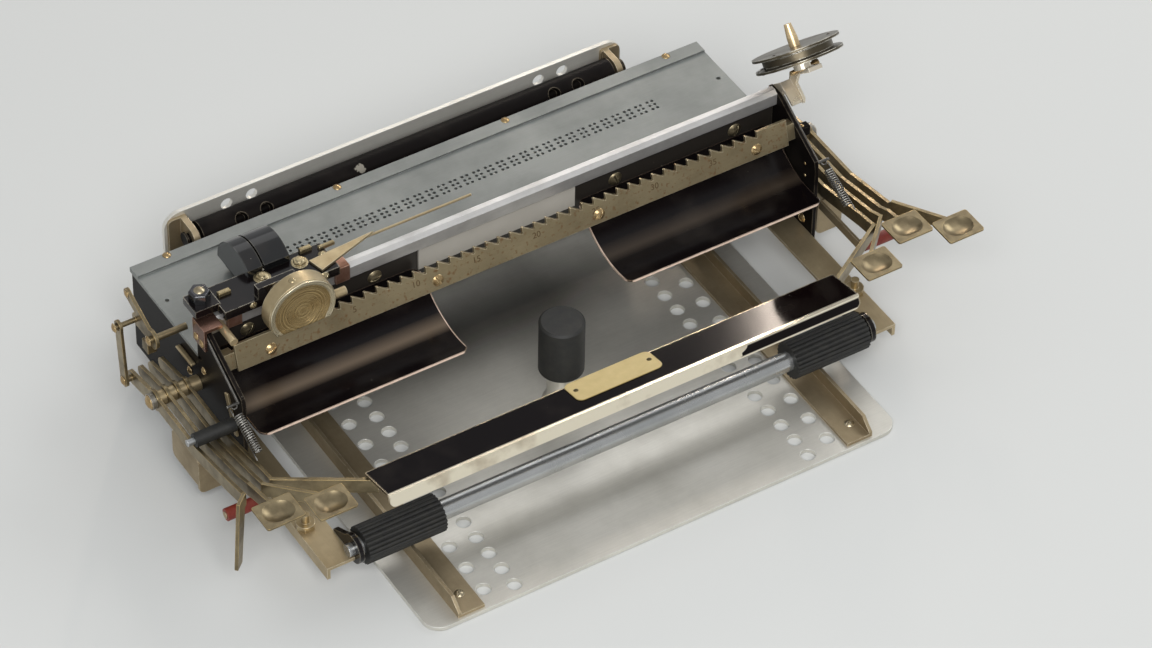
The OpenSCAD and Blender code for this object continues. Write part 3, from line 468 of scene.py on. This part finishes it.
# ---------------------------------------------------------------- levers, springs and small screws
# The springs and their wires are grey spring steel. Small brass screws and pins hold the levers and
# links, and bent brass strips and a small enamelled block stand on the plates.
brass = brushed("old_brass", "#c2b08c", "#9d8a67", 0.31, "x", patch=0.014, edge="#e6dcbf")
wire_steel = brushed("spring_steel", "#77746f", "#4a4846", 0.27, "z", patch=0.004, edge="#c9c7c0", metal=0.95)
dress(wire_steel, "spring_wires", "space_spring_left", "space_spring_right")
again(rivet, "shaft_end", brass_screw, "frame", [
    ((side * 0.1711, 0.0332, 0.0366), (side, 0, 0), 0, 0.0036) for side in (-1, 1)])
again(rivet, "link_pin", brass_screw, "crank", [
    ((-0.1742, 0.0567, 0.063), LEFT, 0, 0.0024), ((-0.1638, 0.0642, 0.072), LEFT, 0, 0.0019)])
again(rivet, "foot_pin", brass_screw, "key_l1", [((-0.1728, 0.0542, 0.0326), LEFT, 0, 0.0024)])
again(rivet, "crank_pin", brass_screw, "frame", [((-0.1654, 0.0422, 0.063), LEFT, 0, 0.0026)])


def crown(piece, inset, rise, edge, segments=2):
    """Insets the top face, lifts or sinks it, and rounds the edges."""
    pick(piece, lambda centre, facing: facing.z > 0.9)
    bpy.ops.mesh.inset(thickness=inset)
    bpy.ops.transform.translate(value=(0, 0, rise))
    bpy.ops.object.mode_set(mode="OBJECT")
    round_edges(piece, edge, segments)


def tab(name, low, high, mat, body):
    """A small block between two corners, with a raised top and rounded edges."""
    piece = start("cube", size=1, location=[(a + b) / 2 for a, b in zip(low, high)])
    piece.scale = [b - a for a, b in zip(low, high)]
    bpy.ops.object.transform_apply(location=True, scale=True)
    crown(piece, 0.0004, 0.0003, 0.00018)
    piece.name = name
    return seat(piece, mat, body, (0, 0, 0))


tab("crank_block", (-0.1652, 0.0435, 0.0535), (-0.1608, 0.0488, 0.0592), lever_nickel, "crank")
tab("side_strip", (-0.1494, 0.0350, 0.0455), (-plate_x, 0.0490, 0.0464), brass, "frame")
# A small block stands outside the right plate, with brass screws in it.
tab("right_block", (plate_x, 0.0110, 0.0590), (0.1540, 0.0150, 0.0640), dull, "frame")
again(rivet, "block_screw", brass_screw, "frame", [
    ((0.1540, 0.0130, 0.0620), (1, 0, 0.2), 0, 0.0020), ((0.1505, 0.0130, 0.0640), UP, 0, 0.0014),
    ((0.145, 0.0012, 0.0532), LEFT, 0, 0.0009), ((0.145, 0.0006, 0.0464), LEFT, 0, 0.0009)])
guard_strip = tab("guard_strip", (-0.0006, -0.0014, 0), (0.0006, 0.0014, 0.0205), brass, "frame")
guard_strip.data.transform(Matrix.Translation((-0.1476, -0.0018, 0.0345)) @ Matrix.Rotation(-0.38, 4, "X"))


def open_ring(name, segments, radius, wire, open_at):
    """A ring of wire, cut open on one side."""
    ring = start("torus", major_segments=segments, minor_segments=10, major_radius=radius, minor_radius=wire)
    cut(ring, (open_at, 0, 0), (1, 0, 0))
    ring.data.shade_smooth()
    ring.name = name
    return ring


# Each space bar spring is hooked to an eye on the plate behind and to the bar's lever in front, and runs
# between them; here each gets its eye, and a still copy of its solid's mesh takes its place.
for side, name in ((-1, "left"), (1, "right")):
    eye = open_ring("spring_eye_" + name, 28, 0.0013, 0.00033, 0.0011)
    seat(eye, wire_steel, "frame", (side * 0.1503, -0.0056, 0.0568), (0, -0.4, 0.92), 1.9)
    solid = parts["space_spring_" + name]
    coil = bpy.data.objects.new("coil_" + name, solid.data.copy())
    scene.collection.objects.link(coil)
    coil.matrix_world = solid.matrix_world
    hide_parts(solid.name)
    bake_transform(coil)

# ---------------------------------------------------------------- space bar
# The bar is a folded steel strip under black enamel. Hands have polished its folded lip to bare metal
# on its left half. The thin bright lines along the lip's top fold and bottom edge are painted highlights.
bar_mat = enamel("space_bar_enamel", "#090405", 0.1, rubbed=0.035, edge="#cbbda4", width=0.0013, shine=0.09)
bar_cloud = noise(bar_mat, 45, 6)
ragged_left = maths(bar_mat, "ADD", along(bar_mat, "X", 0.085, 0.015), bar_cloud)
left_half = maths(bar_mat, "GREATER_THAN", ragged_left, along(bar_mat, "X", 1, 0))
# Painted highlights: bright lines along the lip's top fold and its bottom edge.
highlight_lines = maths(bar_mat, "MAXIMUM", along(bar_mat, "Z", 0.0517, 0.0523),
                  along(bar_mat, "Z", 0.0476, 0.0471))
bare_lip_and_highlights = maths(bar_mat, "MULTIPLY", along(bar_mat, "Y", -0.0800, -0.0808),
                 maths(bar_mat, "MAXIMUM", left_half, highlight_lines))
bar_metal = maths(bar_mat, "MAXIMUM", bare_lip_and_highlights, shader_input(bar_mat, "Metallic").links[0].from_socket)
tint(bar_mat, bare_lip_and_highlights, "#f1e8d3")
tint(bar_mat, maths(bar_mat, "MULTIPLY", bare_lip_and_highlights, spread(bar_mat, bar_cloud, 0.52, 0.7, 0, 0.7)), "#8f7657")
feed(bar_mat, "Metallic", bar_metal)
feed(bar_mat, "Roughness", line_through(bar_mat, bar_metal, 0.2, 0.1))
dress(bar_mat, "space_bar")

# A cream celluloid label is pinned to the bar, left bare here. Two small pins hold it.
tilt = math.radians(-12)
bar_face_up = (0, -math.sin(tilt), math.cos(tilt))


def on_space_bar(x, y, z):
    """A place on the top of the space bar, y forward from its rear edge."""
    return (x, -0.061 + y * math.cos(tilt) - z * math.sin(tilt),
            0.0485 + y * math.sin(tilt) + z * math.cos(tilt))


label = start("cube", size=1)
label.scale = (0.0432, 0.0146, 0.0006)
bpy.ops.object.transform_apply(scale=True)
pick(label, lambda centre, facing: False)
bpy.ops.object.mode_set(mode="OBJECT")
for edge in label.data.edges:
    low, high = (label.data.vertices[v].co for v in edge.vertices)
    edge.select = abs(low.z - high.z) > 0.0004
bpy.context.tool_settings.mesh_select_mode = (False, True, False)
bpy.ops.object.mode_set(mode="EDIT")
bpy.ops.mesh.bevel(offset=0.0032, segments=8)
bpy.ops.object.mode_set(mode="OBJECT")
round_edges(label, 0.0002)
label.name = "label_plate"
cream = mottled("cream_celluloid", "#c2ad77", "#aa965c", 0.0, 0.42, 240, 6)
seat(label, cream, "space", on_space_bar(0.0013, -0.0062, 0.0003), bar_face_up)
pin_metal = brushed("blackened_pin", "#5a5038", "#3c3526", 0.45, "x", patch=0.003, edge="#8c7f5c")
again(rivet, "label_pin", pin_metal, "space", [
    (on_space_bar(x, -0.0056, 0.0006), bar_face_up, 0, 0.0012) for x in (-0.0172, 0.0198)])

# ---------------------------------------------------------------- carriage pieces
# The barrel is brass, plated on its wall and turned in fine rings on its face. The shoes and the rail
# stop are copper brown, the pointer is sprung brass. Nuts and screws hold them to the carriage.
copper = brushed("brown_copper", "#8d6c5e", "#5b4338", 0.26, "x", patch=0.006, edge="#d2a892", metal=0.92)
dress(copper, "rail_stop")
shoe_copper = brushed("rubbed_copper", "#c09684", "#93674f", 0.3, "x", patch=0.005, edge="#e0bda8")
dress(shoe_copper, "carriage_shoes")
dress(brass, "barrel", "pointer", "spacers", "stop_screws")
# A polished ring and a sunk face close the barrel. The face was turned on a lathe, and its fine
# rings are drawn a little coarser than the real tool marks so that they show.
cap = start("cylinder", vertices=128, radius=0.0158, depth=0.0012)
cut(cap, (0, -0.0093, 0), FRONT)
crown(cap, 0.0021, -0.0007, 0.0005, 3)
cap.name = "barrel_rim"
shade(cap)
hub_x, hub_z = -0.1128, 0.0905
turned = new_material("turned_brass", "#b9a062", 1.0, 0.27)
from_hub = add(turned, "Mapping", [(place(turned), 0)], in_1=(-hub_x, 0, -hub_z), in_3=(1, 0, 1))
radius = add(turned, "VectorMath", [(from_hub.outputs[0], 0)], operation="LENGTH").outputs["Value"]
rings = add(turned, "TexNoise", [(radius, "W")], noise_dimensions="1D")
rings.inputs["Scale"].default_value = 1500
rings.inputs["Detail"].default_value = 2
rings = spread(turned, rings.outputs["Fac"], 0.4, 0.6)
turned_tone = layered(turned, noise(turned, 170, 5), colour("#e2ca97"), colour("#b2976a"))
turned_face = layered(turned, rings, turned_tone, (0.68, 0.64, 0.56, 1), "MULTIPLY")
on_rim = spread(turned, radius, 0.0133, 0.0135)
feed(turned, "Base Color", layered(turned, on_rim, turned_face, colour("#ddd2b6")))
raise_surface(turned, rings, 0.5, 0.0003)
seat(cap, turned, "carriage", (hub_x, -0.0005, hub_z), FRONT)

# Two hexagon nuts on washers, and the ends of their bolts, clamp the arm to the carriage's top. Their
# pattern is a chamfered nut of radius 1 that stands on z = 0.
clamp = start("cylinder", vertices=6, radius=1, depth=0.62, location=(0, 0, 0.49))
bpy.ops.object.transform_apply(location=True)
crown(clamp, 0.1, 0.08, 0.05)
washer = start("cylinder", vertices=40, radius=1.28, depth=0.18, location=(0, 0, 0.09))
bolt = start("cylinder", vertices=28, radius=0.56, depth=0.4, location=(0, 0, 0.98))
for item in (washer, bolt):
    only(item)
    bpy.ops.object.transform_apply(location=True)
    crown(item, 0.14, 0.05, 0.03)
washer.select_set(True)
clamp.select_set(True)
bpy.context.view_layer.objects.active = clamp
bpy.ops.object.join()
clamp.data.transform(Matrix.Scale(0.6, 4, UP))
shade(clamp)
top_z = 0.084
nut_brass = brushed("nut_brass", "#b5a582", "#857654", 0.24, "z", patch=0.004, edge="#f2e6c4")
again(clamp, "clamp_nut", nut_brass, "carriage", [
    ((-0.1147, 0.032, top_z), UP, 0.3, 0.0030), ((-0.0964, 0.032, top_z), UP, 0.8, 0.0030)])
# The big nut at the carriage's left end is black nickelled, with a bright stud in it.
gunmetal = brushed("black_nickel", "#565658", "#38383a", 0.16, "z", patch=0.006, edge="#b9b9b6", metal=0.95)
stop_nut = start("cylinder", vertices=6, radius=0.0049, depth=0.0046, location=(0, 0, 0.0023))
bpy.ops.object.transform_apply(location=True)
crown(stop_nut, 0.0006, 0.0006, 0.0003)
stop_nut.name = "stop_nut"
seat(stop_nut, gunmetal, "carriage", (-0.1440, 0.0340, 0.0842), UP, 0.1)
again(rivet, "stop_stud", screw_steel, "carriage", [((-0.1440, 0.0340, 0.0893), UP, 0, 0.0027)])
again(slotted, "carriage_screw", nut_brass, "carriage", [
    ((-0.0906, 0.021, 0.0818), FRONT, 0.7, 0.0026), ((-0.1251, 0.021, 0.0818), FRONT, 1.9, 0.0018),
    ((-0.0853, 0.0315, top_z), UP, 0.7, 0.0021)])
again(rivet, "barrel_screw", nut_brass, "carriage", [((-0.1155, 0.0035, 0.1061), (-0.15, 0, 1), 0, 0.0017)])
again(rivet, "stop_screw", brass_screw, "frame", [
    ((-0.15, 0.0272, 0.0708), LEFT, 0, 0.0021), ((-0.15, 0.0224, 0.0702), LEFT, 0, 0.0021)])

# Brass tabs stand out of slits in the carriage, each a bent strip.
for name, low, high in (
        ("carriage_tab_left", (-0.1365, 0.0305, 0.0835), (-0.1305, 0.0329, 0.0856)),
        ("carriage_tab_right", (-0.0935, 0.0363, 0.0835), (-0.0878, 0.0385, 0.0858)),
        ("carriage_hook", (-0.0853, 0.0345, 0.0835), (-0.0775, 0.0362, 0.0852))):
    tab(name, low, high, nut_brass, "carriage")

# ---------------------------------------------------------------- pulley
# The cord pulley is tarnished nickelled steel. It turns on the bare brass end of a shaft, on a bracket
# of polished nickelled strip that is screwed to the right plate.
pulley_mat = brushed("pulley_nickel", "#5e5646", "#443d31", 0.3, "x", patch=0.02, edge="#dddacd", rubbed=0.06)
dress(pulley_mat, "pulley")
# The bracket's near-white base is painted light: it stands in for the strong light that falls on the strap.
polished = brushed("polished_nickel", "#eee3cf", "#cfc2a6", 0.22, "x", patch=0.02, edge="#fbf3e2", metal=0.7)
tint(polished, along(polished, "Z", 0.0985, 0.0995), "#dcc398")
dress(polished, "pulley_bracket")

# Two small rivets close the pulley's flanges, and a wire hook holds the cord's end.
reel_axis = Vector((0, 0.66, 0.751)).normalized()
reel_side = Vector((0, 0.751, -0.66)).normalized()
reel_hub = Vector((0.1535, 0.0237, 0.0979))
dark_hole = mottled("rivet_hole", "#2a261f", "#4b4437", 0.6, 0.5, 900)
rivet_ring = 0.0157
again(rivet, "pulley_rivet", dark_hole, "pulley", [
    (reel_hub + reel_axis * 0.00335 + Vector((rivet_ring * math.cos(a), 0, 0))
     + reel_side * rivet_ring * math.sin(a), reel_axis, 0, 0.0009)
    for a in (math.radians(203), math.radians(338))])
hook = open_ring("pulley_hook", 32, 0.0021, 0.00035, 0.0012)
seat(hook, wire_steel, "pulley", reel_hub + Vector((-0.0198, 0, 0)) - reel_axis * 0.0022, (0, 1, 0), 2.2)

# A brass finger with a round head stands out of the bracket under the pulley.
finger = start("cylinder", vertices=28, radius=0.0012, depth=0.0135, location=(0, 0, 0.00675))
bpy.ops.object.transform_apply(location=True)
pick(finger, lambda centre, facing: facing.z > 0.9)
bpy.ops.mesh.extrude_region_move(TRANSFORM_OT_translate={"value": (0, 0, 0.0004)})
bpy.ops.transform.resize(value=(1.6, 1.6, 1))
bpy.ops.mesh.extrude_region_move(TRANSFORM_OT_translate={"value": (0, 0, 0.0018)})
bpy.ops.object.mode_set(mode="OBJECT")
crown(finger, 0.0005, 0.0003, 0.0002)
shade(finger)
finger.name = "bracket_finger"
seat(finger, brass_screw, "frame", (0.1490, 0.0215, 0.0893), (0.985, 0.14, -0.1))

# ---------------------------------------------------------------- floor, light and camera
# The machine stands on a plain pale floor, in soft studio light.
bpy.ops.mesh.primitive_plane_add(size=8, location=(0, 0, cad_box[0][2] - 0.0002))
floor = bpy.context.object
floor.name = "floor"
floor.data.materials.append(new_material("pale_floor", "#c9cac8", 0.0, 0.9))

world = bpy.data.worlds.new("studio")
scene.world = world
world.use_nodes = True
world.node_tree.nodes["Background"].inputs[0].default_value = colour("#eef0f2")
world.node_tree.nodes["Background"].inputs[1].default_value = 0.6


def soft_box(name, at, aim, size, power):
    bpy.ops.object.light_add(type="AREA", location=at)
    lamp = bpy.context.object
    lamp.name = name
    lamp.data.shape = "RECTANGLE"
    lamp.data.size, lamp.data.size_y = size
    lamp.data.energy = power
    lamp.rotation_euler = (Vector(aim) - Vector(at)).to_track_quat("-Z", "Y").to_euler()
    return lamp


soft_box("key_light", (-0.7, -1.3, 1.5), (0, 0, 0.03), (1.4, 1.0), 30)
soft_box("side_light", (1.4, 0.3, 1.1), (0, 0, 0.03), (1.0, 0.8), 8)
# A narrow light low at the back draws the gleam on the right half of the space bar.
strip = soft_box("strip_light", (0.722, 1.15, 0.645), (0.1, -0.0735, 0.051), (0.045, 0.3), 2.2)
strip.data.color = (1, 0.86, 0.74)
# A wide dim box above the back brightens the board in front of the machine, where it mirrors in it.
soft_box("back_light", (0.95, 1.3, 1.6), (0, -0.05, 0.03), (1.5, 1.0), 3.1)

# The camera stands to the left of the front and looks down steeply, with a long lens. Its angles and
# its focal length in pixels come from the camera that was fitted to the photo.
pan, down, roll = -0.566576, 0.769707, 0.019448
focal_pixels, picture_width = 5050, 1152
bpy.ops.object.camera_add(location=(-0.83978, -1.35844, 1.57416))
camera = bpy.context.object
camera.name = "camera"
camera.rotation_euler = (Matrix.Rotation(pan, 3, "Z") @ Matrix.Rotation(math.pi / 2 - down, 3, "X")
                         @ Matrix.Rotation(roll, 3, "Z")).to_euler()
camera.data.sensor_width = 36
camera.data.lens = 36 * focal_pixels / picture_width
camera.data.clip_end = 20
scene.camera = camera
scene.view_settings.view_transform = "Standard"

for pattern in (slotted, rivet, clamp):
    bpy.data.objects.remove(pattern)
